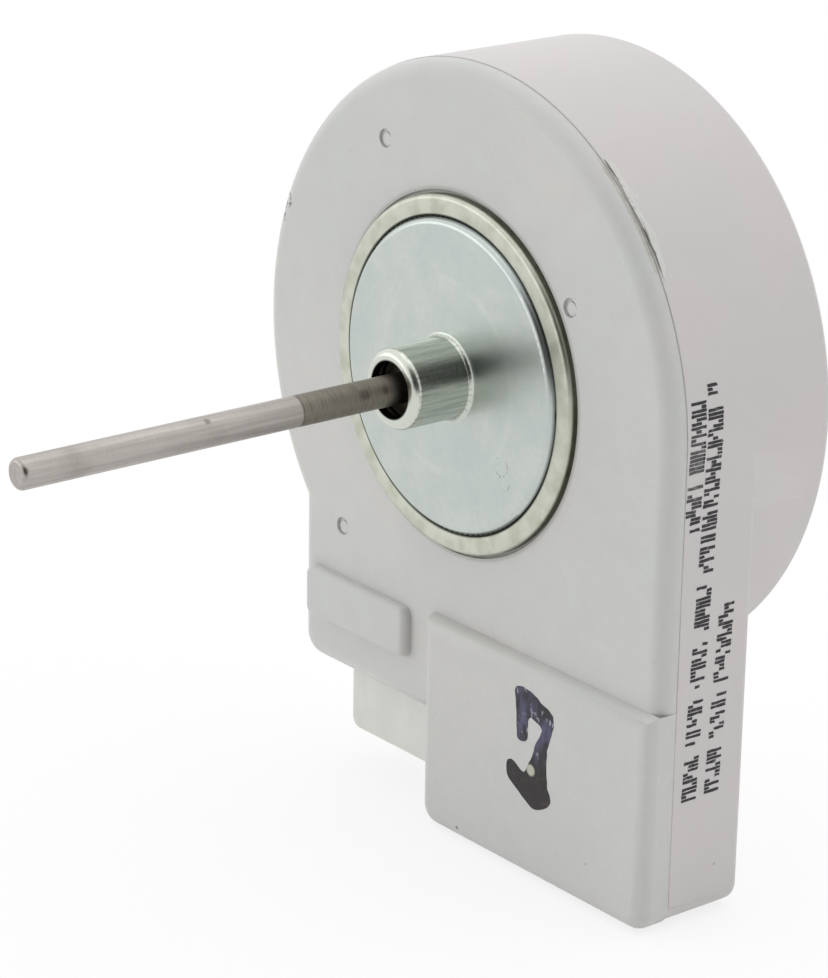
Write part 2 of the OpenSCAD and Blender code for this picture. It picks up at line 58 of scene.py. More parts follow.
view_turn, view_height, view_tilt = math.radians(51.2), math.radians(19.33), math.radians(0.95)
picture_w, picture_h, focal_pixels = 828, 978, 3576
front_middle = Vector((0, -20.5, 0)) * mm
front_middle_across, front_middle_down, front_middle_away = 458.4, 374.6, 359.9 * mm
towards_camera = Vector((math.sin(view_turn) * math.cos(view_height),
                         -math.cos(view_turn) * math.cos(view_height), math.sin(view_height)))
level = Vector((math.cos(view_turn), math.sin(view_turn), 0))
upright = towards_camera.cross(level)
picture_x = level * math.cos(view_tilt) + upright * math.sin(view_tilt)
picture_y = upright * math.cos(view_tilt) - level * math.sin(view_tilt)
pixel = front_middle_away / focal_pixels
camera = bpy.data.objects.new("camera", bpy.data.cameras.new("camera"))
camera.data.sensor_width = 36
camera.data.lens = focal_pixels * 36 / picture_h
camera.data.clip_start = 0.01
camera.matrix_world = Matrix((picture_x, picture_y, towards_camera)).transposed().to_4x4()
camera.location = (front_middle + towards_camera * front_middle_away
                   - picture_x * (front_middle_across - picture_w / 2) * pixel
                   + picture_y * (front_middle_down - picture_h / 2) * pixel)
bpy.context.scene.collection.objects.link(camera)
bpy.context.scene.camera = camera
bpy.context.scene.view_settings.view_transform = "Standard"


# The studio: a white sweep under the motor, soft light all round, and two wide soft lamps, one above
# and one to the left. The side behind the photographer is darker, and the bright metal shows it.


class Socket:
    """The output of a shader node. A sum, product or comparison of it adds a Math node."""

    def __init__(self, finish, out):
        self.finish, self.out = finish, out

    def maths(self, operation, *values):
        return self.finish.add("ShaderNodeMath", {"operation": operation}, dict(enumerate(values)))

    def __add__(self, other):
        return self.maths("ADD", self, other)

    def __radd__(self, other):
        return self.maths("ADD", other, self)

    def __sub__(self, other):
        return self.maths("SUBTRACT", self, other)

    def __rsub__(self, other):
        return self.maths("SUBTRACT", other, self)

    def __mul__(self, other):
        return self.maths("MULTIPLY", self, other)

    def __rmul__(self, other):
        return self.maths("MULTIPLY", other, self)

    def __truediv__(self, other):
        return self.maths("DIVIDE", self, other)

    def __rtruediv__(self, other):
        return self.maths("DIVIDE", other, self)

    def __gt__(self, other):
        return self.maths("GREATER_THAN", self, other)

    def __lt__(self, other):
        return self.maths("LESS_THAN", self, other)

    def __abs__(self):
        return self.maths("ABSOLUTE", self)

    def wave(self):
        """The sine of the value."""
        return self.maths("SINE", self)

    def rise(self, low, high):
        """0 below low, 1 above high, and a soft slope between them."""
        return self.finish.add("ShaderNodeMapRange", {"interpolation_type": "SMOOTHSTEP"},
                               {0: self, 1: low, 2: high})

    def near(self, place, full, none):
        """1 within full of the place, and 0 further than none from it."""
        return 1 - abs(self - place).rise(full, none)


class Finish:
    """The shader nodes of one finish. Places on the part are in millimetres."""

    def __init__(self, tree):
        self.tree = tree
        tree.nodes.clear()

    def add(self, kind, settings=None, sockets=None, out=0):
        """Adds a node, sets it and its sockets, and gives the output with this name or number."""
        node = self.tree.nodes.new(kind)
        for name, value in (settings or {}).items():
            setattr(node, name, value)
        for name, value in (sockets or {}).items():
            if isinstance(value, Socket):
                self.tree.links.new(value.out, node.inputs[name])
            else:
                node.inputs[name].default_value = value
        return Socket(self, node.outputs[out] if node.outputs else None)

    def parts(self, vector):
        """The three parts of a vector."""
        split = self.add("ShaderNodeSeparateXYZ", {}, {0: vector})
        return [Socket(self, out) for out in split.out.node.outputs]

    def mix(self, amount, first, second):
        """The first colour where the amount is 0, and the second where it is 1."""
        return self.add("ShaderNodeMix", {"data_type": "RGBA"}, {0: amount, 6: first, 7: second}, 2)


def tone(red, green, blue):
    """A colour as a screen shows it, from 0 to 255, as the linear colour a socket takes."""
    shown = (v / 255 for v in (red, green, blue))
    return tuple(v / 12.92 if v < 0.0404 else ((v + 0.055) / 1.055) ** 2.4 for v in shown) + (1,)


white = (1, 1, 1, 1)
sweep_z = cad_box[0].z - 0.3 * mm
photographer = Vector((0.7, -0.64, 0.31)).normalized()
bpy.ops.object.select_all(action="DESELECT")
bpy.ops.mesh.primitive_plane_add(size=6, location=(0, 0, sweep_z))
sweep = bpy.context.object
sweep.name = "studio_sweep"
sweep.data.materials.append(bpy.data.materials.new("white_paper"))
sweep.active_material.use_nodes = True
paper = Finish(sweep.active_material.node_tree)
seen = paper.add("ShaderNodeLightPath")
straight, mirrored, through = (Socket(paper, seen.out.node.outputs[name])
                               for name in ("Is Camera Ray", "Is Glossy Ray", "Is Transmission Ray"))
lit_paper = paper.add("ShaderNodeBsdfDiffuse", {}, {"Color": (0.93, 0.93, 0.93, 1)})
white_paper = paper.add("ShaderNodeEmission", {}, {"Color": white, "Strength": 1.0})
shadow_kept = 0.2
shown = straight * (1 - shadow_kept) + mirrored + through
paper.add("ShaderNodeOutputMaterial", {}, {"Surface": paper.add(
    "ShaderNodeMixShader", {}, {0: shown, 1: lit_paper, 2: white_paper})})

room = bpy.data.worlds.new("room")
room.use_nodes = True
bpy.context.scene.world = room
air = Finish(room.node_tree)
direction = air.add("ShaderNodeTexCoord", {}, {}, "Generated")
facing = air.add("ShaderNodeVectorMath", {"operation": "DOT_PRODUCT"},
                 {0: direction, 1: photographer}, 1)
seen = air.add("ShaderNodeLightPath")
straight, through = (Socket(air, seen.out.node.outputs[name])
                     for name in ("Is Camera Ray", "Is Transmission Ray"))
plain = straight + through
darkness, room_light = 0.96, 1.12
dark_side = facing.rise(0.66, 0.9) * darkness * (1 - plain)
glow = air.mix(dark_side, white, (0, 0, 0, 1))
strength = plain + (1 - plain) * room_light
air.add("ShaderNodeOutputWorld", {}, {"Surface": air.add(
    "ShaderNodeBackground", {}, {"Color": glow, "Strength": strength})})

lit_place = Vector((0, -20, 0)) * mm
for name, place, size, power in (("lamp_above", (-0.1, 0.1, 0.9), 0.9, 1.2),
                                 ("lamp_left", (-0.55, -0.6, 0.0), 0.6, 0.9)):
    lamp = bpy.data.objects.new(name, bpy.data.lights.new(name, "AREA"))
    lamp.data.size, lamp.data.energy = size, power
    lamp.location = place
    lamp.rotation_euler = (lit_place - lamp.location).to_track_quat("-Z", "Y").to_euler()
    bpy.context.scene.collection.objects.link(lamp)


# The stator's core: thin sheets of silicon steel, stamped and stacked along the shaft. The sheets
# show on the sides as bright lines, with dark insulating varnish between them.


class Surface(Finish):
    """A finish for pieces of the part: a Principled shader, and the place in millimetres."""

    def __init__(self, name, metal=0.0):
        self.material = bpy.data.materials.new(name)
        self.material.use_nodes = True
        super().__init__(self.material.node_tree)
        self.shader = self.add("ShaderNodeBsdfPrincipled", {}, {"Metallic": metal})
        self.add("ShaderNodeOutputMaterial", {}, {"Surface": self.shader})
        metres = self.add("ShaderNodeTexCoord", {}, {}, "Object")
        self.place = self.add("ShaderNodeVectorMath", {"operation": "SCALE"}, {0: metres, "Scale": 1000})
        self.x, self.y, self.z = self.parts(self.place)

    def grain(self, size, detail=2.0, stretch=(1, 1, 1), rough=0.5):
        """Cloudy variation round 0.5, with lumps about as large as size, drawn out by stretch."""
        shrunk = self.add("ShaderNodeVectorMath", {"operation": "MULTIPLY"},
                          {0: self.place, 1: tuple(1 / (size * s) for s in stretch)})
        return self.add("ShaderNodeTexNoise", {},
                        {"Vector": shrunk, "Scale": 1.0, "Detail": detail, "Roughness": rough})

    def away_from(self, x, y, z):
        """Distance from this place."""
        return self.add("ShaderNodeVectorMath", {"operation": "DISTANCE"},
                        {0: self.place, 1: (x, y, z)}, 1)

    def from_axis(self):
        """Distance from the shaft's axis."""
        flat = self.add("ShaderNodeVectorMath", {"operation": "MULTIPLY"},
                        {0: self.place, 1: (1, 0, 1)})
        return self.add("ShaderNodeVectorMath", {"operation": "LENGTH"}, {0: flat}, 1)

    def set(self, **sockets):
        """Sets or links the shader's sockets, named with _ for each space."""
        for name, value in sockets.items():
            entry = self.shader.out.node.inputs[name.replace("_", " ")]
            if isinstance(value, Socket):
                self.tree.links.new(value.out, entry)
            else:
                entry.default_value = value

    def relief(self, height, depth):
        """Bump as deep as depth, in millimetres, where the height goes from 0 to 1."""
        self.set(Normal=self.add("ShaderNodeBump", {}, {
            "Height": height, "Distance": depth * mm, "Strength": 1.0}))


def dress(surface, *pieces):
    """Gives the CAD nodes of these names their finish."""
    for name in pieces:
        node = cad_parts[name]
        if not node.data.materials:
            node.data.materials.append(None)
        for slot in node.material_slots:
            slot.material = surface.material


core_steel = Surface("stacked_sheets", metal=0.9)
sheet_t = 0.5
sheet = (core_steel.y * (2 * math.pi / sheet_t)).wave().rise(-0.9, 0.4)
bare_steel = core_steel.mix(core_steel.grain(1.5, 3.0).rise(0.3, 0.7), tone(132, 133, 138),
                            tone(112, 112, 118))
core_steel.set(Base_Color=core_steel.mix(sheet, tone(62, 62, 66), bare_steel),
               Roughness=0.38 + core_steel.grain(0.6, 2.0) * 0.2)
core_steel.relief(sheet, 0.03)
dress(core_steel, "stator_core")


# The insulators on the core's ends: glass-filled nylon in off-white, with matt flow marks and fine
# glass on the surface.

filled_nylon = Surface("filled_nylon")
flow = filled_nylon.grain(2.2, 4.0).rise(0.3, 0.7)
filled_nylon.set(Base_Color=filled_nylon.mix(flow, tone(232, 229, 216), tone(218, 214, 198)),
                 Roughness=0.46 + filled_nylon.grain(0.5, 2.0) * 0.16)
filled_nylon.relief(filled_nylon.grain(0.3, 4.0), 0.02)
dress(filled_nylon, "rear_insulator", "front_insulator")


# The nine coils: enamelled copper wire, wound round the teeth in close layers. The enamel gives
# the copper a reddish gloss, and each turn shows as a ridge.

copper = Surface("enamelled_copper", metal=0.85)
wire_d = 0.3
turns = (copper.from_axis() * (2 * math.pi / wire_d)).wave() * 0.5 + 0.5
enamel = copper.mix(copper.grain(1.6, 3.0).rise(0.3, 0.7), tone(196, 112, 66), tone(172, 88, 50))
# Painted shade: the grooves between the turns are darker.
wire_tone = copper.mix(turns.rise(0.1, 0.6), tone(84, 38, 20), enamel)
copper.set(Base_Color=wire_tone, Roughness=0.3)
copper.relief(turns, 0.08)
dress(copper, *(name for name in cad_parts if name.startswith("coil_")))


# The contacts and the winding terminals: brass strip, stamped, bent and tinned. The tin is bright,
# with fine rolling lines.

tin = Surface("tinned_brass", metal=1.0)
rolled = tin.grain(0.2, 3.0, (1, 1, 12)).rise(0.3, 0.7)
tin.set(Base_Color=tin.mix(rolled, tone(206, 203, 192), tone(176, 170, 154)),
        Roughness=0.24 + rolled * 0.12)
tin.relief(rolled, 0.004)
dress(tin, "connector_contacts", "winding_terminals")


# The circuit board: glass-fibre laminate, cut to fit beside the core, with copper tracks under a
# green mask. The weave shows faintly, and the tracks stand up a little.

laminate = Surface("green_laminate")
weave = laminate.grain(0.5, 2.0, (1, 1, 4)) * 0.5 + laminate.grain(0.5, 2.0, (4, 1, 1)) * 0.5
tracks = laminate.grain(3.2, 0.0).near(0.5, 0.035, 0.05)
mask = laminate.mix(weave.rise(0.4, 0.6), tone(28, 84, 48), tone(36, 98, 58))
laminate.set(Base_Color=laminate.mix(tracks * 0.7, mask, tone(62, 124, 72)),
             Roughness=0.3 + weave * 0.2)
laminate.relief(weave * 0.3 + tracks * 0.5, 0.02)
dress(laminate, "circuit_board")


# The parts on the board that are cast in black epoxy or coated with it: the driver, the rotor's
# sensor, the surge diode and the resistors. Fine filler makes the epoxy matt.

epoxy = Surface("black_epoxy")
filler = epoxy.grain(0.3, 3.0).rise(0.45, 0.75)
epoxy.set(Base_Color=epoxy.mix(filler, tone(38, 38, 40), tone(62, 62, 65)),
          Roughness=0.55 + epoxy.grain(0.4, 2.0) * 0.15)
epoxy.relief(epoxy.grain(0.15, 3.0), 0.012)
dress(epoxy, "driver_chip", "hall_sensor", "surge_diode", "chip_resistors")


# The ceramic capacitors: small blocks of fired tan ceramic, soldered flat on the board. Firing
# leaves them matt, with faint clouds.

ceramic = Surface("tan_ceramic")
fired = ceramic.grain(0.35, 3.0).rise(0.35, 0.7)
ceramic.set(Base_Color=ceramic.mix(fired, tone(178, 146, 110), tone(156, 122, 88)), Roughness=0.5)
ceramic.relief(ceramic.grain(0.2, 3.0), 0.01)
dress(ceramic, "ceramic_capacitors")


# The smoothing capacitor: a drawn aluminium can, soldered to the board. Drawing leaves fine lines
# along its wall, under a clear lacquer.

can = Surface("drawn_can", metal=0.8)
brushed = can.grain(0.3, 2.0, (1, 12, 1)).rise(0.3, 0.7)
can.set(Base_Color=can.mix(brushed, tone(198, 200, 204), tone(168, 170, 176)),
        Roughness=0.28 + brushed * 0.12)
can.relief(brushed, 0.005)
dress(can, "smoothing_capacitor")


# The connector's housing: unfilled nylon, moulded in ivory. It is a little glossy, with faint flow
# marks and specks of grime, and painted shade in a band where it stands out of the resin.

ivory = Surface("ivory_nylon")
flow = ivory.grain(2.5, 3.0, (1, 1, 3)).rise(0.3, 0.7)
ivory_body = ivory.mix(flow, tone(226, 226, 220), tone(219, 220, 213))
ivory_body = ivory.mix(ivory.grain(0.6, 3.0).rise(0.68, 0.78) * 0.3, ivory_body, tone(168, 164, 150))
# Painted shade: a band darker just under the resin's edge.
ivory_body = ivory.mix(ivory.z.near(-38, 0.1, 0.9) * 0.25, ivory_body, tone(160, 156, 142))
ivory.set(Base_Color=ivory_body, Roughness=0.36 + ivory.grain(1.0, 2.0) * 0.12)
ivory.relief(ivory.grain(0.5, 3.0), 0.012)
dress(ivory, "connector_housing")


# The moulded housing: pale grey thermoset resin, pressed round the wound stator and its board in a
# two-part mould. The drum, the flat body, the raised block and the small pad are one moulding. The
# mould's front half sits a little low and to the left, which leaves a small step at the seam.


def resin_surface(name, colour=(206, 205, 202)):
    """The housing's resin: faint clouds of warm and cool grey, dark and light specks, fine grain."""
    resin = Surface(name)
    clouds = resin.grain(14, 3.0).rise(0.35, 0.65)
    streaks = resin.grain(3.0, 4.0, (1, 2.5, 1)).rise(0.3, 0.75)
    warm, cool = tone(*colour), tone(colour[0] - 3, colour[1], colour[2] + 1)
    body = resin.mix(clouds, warm, cool)
    body = resin.mix(streaks * 0.35, body, tone(colour[0] - 7, colour[1] - 7, colour[2] - 6))
    light = resin.grain(0.8, 1.0).rise(0.62, 0.78)
    dark = resin.grain(0.32, 1.0).rise(0.7, 0.76)
    body = resin.mix(light * 0.1, body, tone(226, 226, 222))
    body = resin.mix(dark * 0.16, body, tone(150, 146, 140))
    resin.set(Roughness=0.44 + resin.grain(0.8, 2.0) * 0.16)
    return resin, body


def bare_mesh(name, adder, **size):
    """Adds a primitive with nothing else selected, and names it."""
    bpy.ops.object.select_all(action="DESELECT")
    adder(**size)
    piece = bpy.context.object
    piece.name = piece.data.name = name
    return piece


def choose(piece):
    """Makes the piece the only one selected, and the active one."""
    bpy.ops.object.select_all(action="DESELECT")
    piece.select_set(True)
    bpy.context.view_layer.objects.active = piece


def give(piece, kind, **settings):
    """Adds a modifier to the piece and applies it."""
    choose(piece)
    modifier = piece.modifiers.new(kind.lower(), kind)
    for key, value in settings.items():
        setattr(modifier, key, value)
    bpy.ops.object.modifier_apply(modifier=modifier.name)


def corner_arc(x, z, r, start, stop, steps=8):
    """Points on a round corner with its centre at x, z, from one angle in degrees to another."""
    turns = (math.radians(start + (stop - start) * i / steps) for i in range(steps + 1))
    return [(x + r * math.cos(t), z + r * math.sin(t)) for t in turns]


def merge(piece):
    """Joins loose corners that share a place, turns all faces outwards and leaves edit mode."""
    bpy.ops.mesh.select_all(action="SELECT")
    bpy.ops.mesh.remove_doubles(threshold=1e-6)
    bpy.ops.mesh.normals_make_consistent(inside=False)
    bpy.ops.object.mode_set(mode="OBJECT")
    return piece


def pick_rim(plate, y):
    """Selects, in edit mode, the edges of the plate that lie at this depth."""
    bpy.ops.mesh.select_all(action="DESELECT")
    bpy.ops.mesh.select_mode(type="EDGE")
    shape = bmesh.from_edit_mesh(plate.data)
    for edge in shape.edges:
        edge.select_set(all(abs(end.co.y / mm - y) < 0.001 for end in edge.verts))
    shape.select_flush_mode()
    bmesh.update_edit_mesh(plate.data)


def moulded_plate(name, outline, back, front, front_r, back_r=0.0):
    """A plate with this outline, seen from the front, whose front and back rims are rounded."""
    plate = bare_mesh(name, bpy.ops.mesh.primitive_circle_add, vertices=len(outline), radius=mm)
    for corner, (x, z) in zip(plate.data.vertices, outline):
        corner.co = Vector((x, back, z)) * mm
    bpy.ops.object.mode_set(mode="EDIT")
    bpy.ops.mesh.select_all(action="SELECT")
    bpy.ops.mesh.edge_face_add()
    bpy.ops.mesh.extrude_region_move(TRANSFORM_OT_translate={"value": (0, (front - back) * mm, 0)})
    for rim_y, rim_r in ((front, front_r), (back, back_r)):
        if rim_r:
            pick_rim(plate, rim_y)
            bpy.ops.mesh.bevel(offset=rim_r * mm, segments=9, profile=0.5, clamp_overlap=False)
    return merge(plate)


def combine(piece, tool, operation):
    """Joins the tool's shape to the piece, or cuts it out, and drops the tool."""
    give(piece, "BOOLEAN", operation=operation, object=tool, solver="EXACT")
    bpy.data.objects.remove(tool)


def turned(name, profile):
    """A round shape about the shaft's axis, from pairs of radius and depth."""
    shape = bare_mesh(name, bpy.ops.mesh.primitive_circle_add, vertices=3, radius=mm)
    bpy.ops.object.mode_set(mode="EDIT")
    bpy.ops.mesh.delete(type="VERT")
    rim = bmesh.from_edit_mesh(shape.data)
    line = [rim.verts.new(Vector((r, y, 0)) * mm) for r, y in profile]
    for a, b in zip(line, line[1:]):
        rim.edges.new((a, b))
    bmesh.update_edit_mesh(shape.data)
    bpy.ops.mesh.select_all(action="SELECT")
    bpy.ops.mesh.spin(steps=192, angle=2 * math.pi, center=(0, 0, 0), axis=(0, 1, 0))
    return merge(shape)


def round_box(left, bottom, right, top, r_bottom, r_top):
    """A box outline with round corners, or sharp ones at the top where r_top is 0."""
    crown = [(right, top), (left, top)] if not r_top else (
        corner_arc(right - r_top, top - r_top, r_top, 0, 90)
        + corner_arc(left + r_top, top - r_top, r_top, 90, 180))
    return (crown + corner_arc(left + r_bottom, bottom + r_bottom, r_bottom, 180, 270)
            + corner_arc(right - r_bottom, bottom + r_bottom, r_bottom, 270, 360))


drum_r, drum_z, side_x, plate_left, plate_low = 32.35, -0.45, 32.35, -25.7, -38
block_left, block_low, block_top = -2.5, -49.3, -26.3
shoulder_y, seam_y, front_y, block_y, pad_y = -9.5, -18.95, -20.85, -22.6, -21.9
left_corner_r, right_corner_r, block_corner_r, pad_corner_r = 2.6, 2.4, 2.2, 1.0
drum_edge_r, shoulder_edge_r, face_edge_r, block_edge_r, pad_edge_r = 0.7, 0.8, 1.8, 1.6, 0.75
mismatch, face_lean = Vector((-0.05, -0.06)), 0.008


def shell_outline(r):
    """The flat body's outline, seen from the front: an arc of this radius over straight sides."""
    stop = 180 + math.degrees(math.acos(-plate_left / r))
    left_r, right_r = left_corner_r, right_corner_r
    return ([(side_x - 0.01, drum_z)] + corner_arc(0, drum_z, r, 3, stop, 150)
            + corner_arc(plate_left + left_r, plate_low + left_r, left_r, 180, 270)
            + [(block_left, plate_low)]
            + corner_arc(block_left + left_r, block_low + left_r, left_r, 180, 270)
            + corner_arc(side_x - right_r, block_low + right_r, right_r, 270, 360))


front_outline = [(x + mismatch.x, z + mismatch.y) for x, z in shell_outline(drum_r - 0.03)]
block_outline = [(x + mismatch.x, z + mismatch.y) for x, z in round_box(
    block_left - 0.04, block_low - 0.04, side_x + 0.02, block_top, block_corner_r, 0)]
pad_outline = round_box(-23.75, -32.8, -6.6, -27.2, pad_corner_r, pad_corner_r)

# The drum first, then the flat body's two halves, the block and the pad.
housing = turned("housing_moulding", ((0, 0), (drum_r - drum_edge_r, 0)) + tuple(
    (drum_r - drum_edge_r * (1 - math.sin(math.radians(t))), -drum_edge_r * (1 - math.cos(math.radians(t))))
    for t in range(15, 91, 15)) + ((drum_r, seam_y), (0, seam_y)))
for corner in housing.data.vertices:
    corner.co.z += drum_z * mm
combine(housing, moulded_plate("plate_rear", shell_outline(drum_r - 0.1), shoulder_y, seam_y, 0,
                               shoulder_edge_r), "UNION")
face = moulded_plate("plate_front", front_outline, seam_y + 0.05, front_y, face_edge_r)
for corner in face.data.vertices:
    forward = (seam_y - corner.co.y / mm) / (seam_y - front_y)
    corner.co.y -= face_lean * corner.co.x * max(0, forward)
combine(housing, face, "UNION")
combine(housing, moulded_plate("block", block_outline, seam_y + 0.03, block_y, block_edge_r), "UNION")
combine(housing, moulded_plate("pad", pad_outline, front_y + 1, pad_y, pad_edge_r), "UNION")

# The room inside: everything between the resin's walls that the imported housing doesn't fill.
room_r, room_back, room_front, bracket_hole_r = 30.9, -1, -19.6, 18.87
hollow_outline = corner_arc(0, 0, room_r, 12, 150, 60) + [
    (-24.8, 15), (-24.8, -34.8), (-22.8, -36.8), (-1.3, -36.8), (-1.3, -46.1), (0.7, -48.1),
    (29.15, -48.1), (31.15, -46.1)]
hollow = moulded_plate("hollow", hollow_outline, -10.7, -19.9, 0)
combine(hollow, turned("drum_room", ((0, room_back), (room_r, room_back), (room_r, room_front),
                                     (bracket_hole_r, room_front), (bracket_hole_r, -24), (0, -24))), "UNION")


def packed_shape(name, node):
    """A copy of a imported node's shape, with its loose triangles joined."""
    shape = bpy.data.objects.new(name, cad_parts[node].data.copy())
    shape.data.name = name
    shape.data.materials.clear()
    bpy.context.scene.collection.objects.link(shape)
    choose(shape)
    bpy.ops.object.mode_set(mode="EDIT")
    return merge(shape)


def smooth(piece, degrees):
    """Shades the piece smooth, apart from edges sharper than this, and keeps its flat faces flat."""
    choose(piece)
    bpy.ops.object.shade_smooth_by_angle(angle=math.radians(degrees))
    give(piece, "WEIGHTED_NORMAL", keep_sharp=True)


combine(hollow, packed_shape("packed_housing", "moulded_housing"), "DIFFERENCE")
combine(housing, hollow, "DIFFERENCE")


def pin(x, z, r, front, back, sides=40):
    """A short round bar along the shaft's direction, which marks the resin."""
    return bare_mesh("pin", bpy.ops.mesh.primitive_cylinder_add, vertices=sides, radius=r * mm,
                     depth=(back - front) * mm, location=(x * mm, (front + back) / 2 * mm, z * mm),
                     rotation=(math.radians(90), 0, 0))


core_pin_r, core_pin_deep, island_r, gate_r, gate_deep = 0.98, 0.35, 0.66, 2.5, 0.3
# The marks of three core pins on the front, each with an island that the pin's hollow tip left, and
# the gate's mark on the rear.
for x, z in ((-12.1, 22), (17.2, 11.2), (-18.6, -21.6)):
    face_y = front_y - face_lean * x
    combine(housing, pin(x, z, core_pin_r, face_y - 1, face_y + core_pin_deep), "DIFFERENCE")
    combine(housing, pin(x + 0.24, z - 0.06, island_r, face_y + 0.06, face_y + 1), "UNION")
combine(housing, pin(12, -9, gate_r, -gate_deep, 1, 64), "DIFFERENCE")
smooth(housing, 32)

resin, resin_body = resin_surface("grey_resin")
seam = resin.y.near(seam_y, 0.03, 0.13) * resin.grain(2.6, 3.0).rise(0.36, 0.7)
seam_dirt = resin.y.near(seam_y - 0.2, 0.1, 0.9) * resin.grain(1.4, 4.0).rise(0.5, 0.74)
# Painted shade: the seam's crease is darker, in patches.
resin_body = resin.mix(seam * 0.12, resin_body, tone(148, 144, 140))
resin_body = resin.mix(seam_dirt * 0.1, resin_body, tone(150, 143, 132))
rear_half = resin.y.rise(seam_y - 0.2, seam_y + 0.1)
resin_body = resin.mix(rear_half * 0.5, resin_body, tone(206, 199, 199))
# Painted shade: the resin is darker in a ring round the flange's edge.
flange_edge_shade = resin.from_axis().near(18.9, 0.1, 0.5) * (resin.y < -20)
resin_body = resin.mix(flange_edge_shade * 0.3, resin_body, tone(120, 116, 100))
for spot_x, spot_y, spot_z, spot_r, shade in (
        (-24.2, -21.1, -32.9, 0.28, 0.8), (3.8, -22.6, -48.0, 0.3, 0.6),
        (15.35, -22.3, -25.6, 0.22, 0.8), (-8.0, -21.1, 27.5, 0.14, 0.5),
        (24.0, -22.6, -44.5, 0.16, 0.5), (32.3, -13.0, -44.0, 0.2, 0.4),
        (28.0, -6.0, 16.4, 0.18, 0.5), (6.0, -12.0, 31.9, 0.2, 0.35), (-12.5, -21.1, -24.0, 0.15, 0.4)):
    spot = 1 - resin.away_from(spot_x, spot_y, spot_z).rise(spot_r * 0.4, spot_r)
    resin_body = resin.mix(spot * shade, resin_body, tone(70, 62, 54))
smudge = (resin.away_from(-28.9, -20.6, 12.0).near(0.7, 0.12, 0.34)
          + (1 - resin.away_from(-29.4, -20.6, 9.9).rise(0.2, 0.6))
          + resin.x.near(-29.35, 0.08, 0.3) * resin.z.near(11, 0.7, 1.2))
smudge = smudge.rise(0.1, 1) * resin.grain(0.5, 3.0).rise(0.35, 0.6) * (resin.y < -19)
resin_body = resin.mix(smudge * 0.75, resin_body, tone(52, 54, 60))
scraped = (resin.x > 15) * resin.z.near(21.2, 3.6, 5.2)
scar = scraped * resin.y.near(-19.15, 0.2, 0.34)
scar_tone = resin.mix(resin.grain(0.9, 3.0).rise(0.35, 0.7), tone(190, 188, 180), tone(164, 161, 148))
resin_body = resin.mix(scar * 0.75, resin_body, scar_tone)
resin.set(Base_Color=resin_body)
resin.relief(resin.grain(0.35, 3.0) * 0.5 + resin.grain(6.0, 2.0) * 0.9 - seam * 0.5 - scar * 1.5, 0.03)
housing.data.materials.append(resin.material)
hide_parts("moulded_housing")
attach(housing, "motor_body")


# The torn skin on the seam, at the upper right: resin that squeezed out between the mould's halves
# and was scraped off. A thin pale lip still lies on the drum, with painted shadow along its front
# edge for the slit beneath it.


def smooth_noise(seed, count, soft=5):
    """Values from -1 to 1 that change softly, with a new one every few steps."""
    dice = random.Random(seed)
    rough = [dice.uniform(-1, 1) for _ in range(count // soft + 2)]
    values = []
    for i in range(count):
        k, t = divmod(i, soft)
        t = (t / soft) ** 2 * (3 - 2 * t / soft)
        values.append(rough[k] * (1 - t) + rough[k + 1] * t)
    return values


lip_from, lip_to, lip_steps, lip_y, lip_width = 31.0, 54.5, 120, -18.86, 1.1
lip = bare_mesh("torn_skin", bpy.ops.mesh.primitive_grid_add, x_subdivisions=lip_steps,
                y_subdivisions=9, size=2, location=(0, 0, 0))
ragged, torn, lifted = (smooth_noise(seed, lip_steps + 1, 11) for seed in (3, 11, 17))
for corner in lip.data.vertices:
    along, over = (corner.co.x + 1) / 2, (corner.co.y + 1) / 2
    step = round(along * lip_steps)
    end = math.sin(math.pi * min(1, max(0, along))) ** 0.45
    front = lip_y + 0.09 * torn[step] + 0.25 * (1 - end)
    width = lip_width * end * (1 + 0.45 * ragged[step]) + 0.1
    y = front + over * width
    lift = (0.08 + 0.09 * max(0, lifted[step] + 0.3)) * end * (1 - over) ** 1.2 + 0.004
    turn = math.radians(lip_from + (lip_to - lip_from) * along)
    r = drum_r + lift - 0.03 * (over > 0.99)
    corner.co = Vector((r * math.cos(turn), y, drum_z + r * math.sin(turn))) * mm
give(lip, "SOLIDIFY", thickness=0.05 * mm, offset=0)
bpy.ops.object.mode_set(mode="EDIT")
merge(lip)
bpy.ops.object.shade_smooth_by_angle(angle=math.radians(40))

skin, skin_body = resin_surface("torn_resin", (208, 205, 201))
# Painted shadow: the lip's front edge is dark where the slit lies beneath it.
slit_shade = (skin.y.near(lip_y, 0.05, 0.3)
        * (skin.z.near(18.6, 1.3, 2.2) + skin.z.near(25.4, 0.5, 1.2)).rise(0, 1))
skin_body = skin.mix(skin.grain(0.6, 4.0).rise(0.5, 0.75) * 0.3, skin_body, tone(218, 217, 210))
# Brown patches along the lip's front edge.
lip_front_brown = skin.y.near(-18.8, 0.1, 0.4) * skin.grain(0.8, 3.0).rise(0.45, 0.65)
skin_body = skin.mix(lip_front_brown * 0.5, skin_body, tone(128, 122, 104))
skin_body = skin.mix(slit_shade * 0.85, skin_body, tone(52, 48, 36))
skin.set(Base_Color=skin_body)
skin.relief(skin.grain(0.3, 4.0), 0.06)
lip.data.materials.append(skin.material)
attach(lip, "motor_body")


# The sleeve bearings: bronze powder, pressed, sintered and soaked in oil. The oil makes them almost
# black, and the pores show as small pits.

bronze = Surface("oily_bronze", metal=0.7)
pores = bronze.grain(0.16, 2.0).rise(0.6, 0.72)
bronze.set(Base_Color=bronze.mix(pores, tone(46, 35, 24), tone(16, 13, 10)),
           Roughness=0.35 + pores * 0.3)
bronze.relief(1 - pores, 0.02)
dress(bronze, "front_bearing", "rear_bearing")


# The thrust pad and the thin washers: unfilled nylon, punched from sheet. They lie loose on the
# shaft or in the bearing's seat, and are slightly oily.

